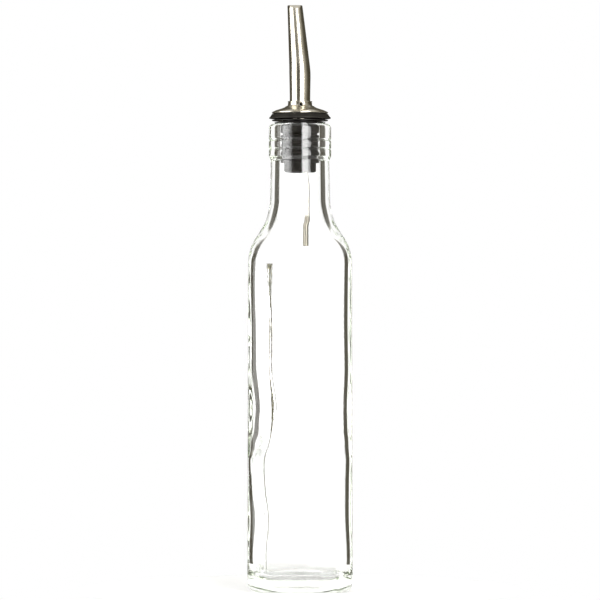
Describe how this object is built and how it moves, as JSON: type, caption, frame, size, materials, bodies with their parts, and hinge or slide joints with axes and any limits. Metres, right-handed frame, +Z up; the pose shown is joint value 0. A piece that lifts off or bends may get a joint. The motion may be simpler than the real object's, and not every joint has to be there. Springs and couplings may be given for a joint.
{
  "type": "glass oil bottle with pourer",
  "caption": "Tall square clear glass bottle for cooking oil, with a ringed round mouth and a removable bent steel pourer held by a finned dark stopper and fitted with a breather tube.",
  "frame": {"origin": "centre of the base on the surface that the bottle stands on", "axes": "+Z up along the bottle's axis, +Y the way the spout leans, X and Y square to the bottle's flat sides"},
  "size_m": [0.052, 0.052, 0.2916],
  "materials": {
    "clear_glass": "clear, slightly wavy blown glass",
    "polished_steel": "polished",
    "drawn_steel": "drawn, satin",
    "dark_stopper": "moulded, satin",
    "black_rubber": "matte"
  },
  "bodies": {
    "bottle": {"glass_bottle": "clear_glass"},
    "stopper": {"rubber_stopper": "dark_stopper", "sealing_washer": "black_rubber"},
    "spout": {"dome_cap": "polished_steel", "pour_spout": "polished_steel", "air_tube": "drawn_steel"}
  },
  "joints": [
    {"name": "stopper_pull", "type": "slide", "parent": "bottle", "child": "stopper", "axis": [0, 0, 1], "range_m": [0, 0.065]},
    {"name": "spout_turn", "type": "hinge", "parent": "stopper", "child": "spout", "pos_m": [0, 0, 0.238], "axis": [0, 0, 1], "continuous": true}
  ]
}
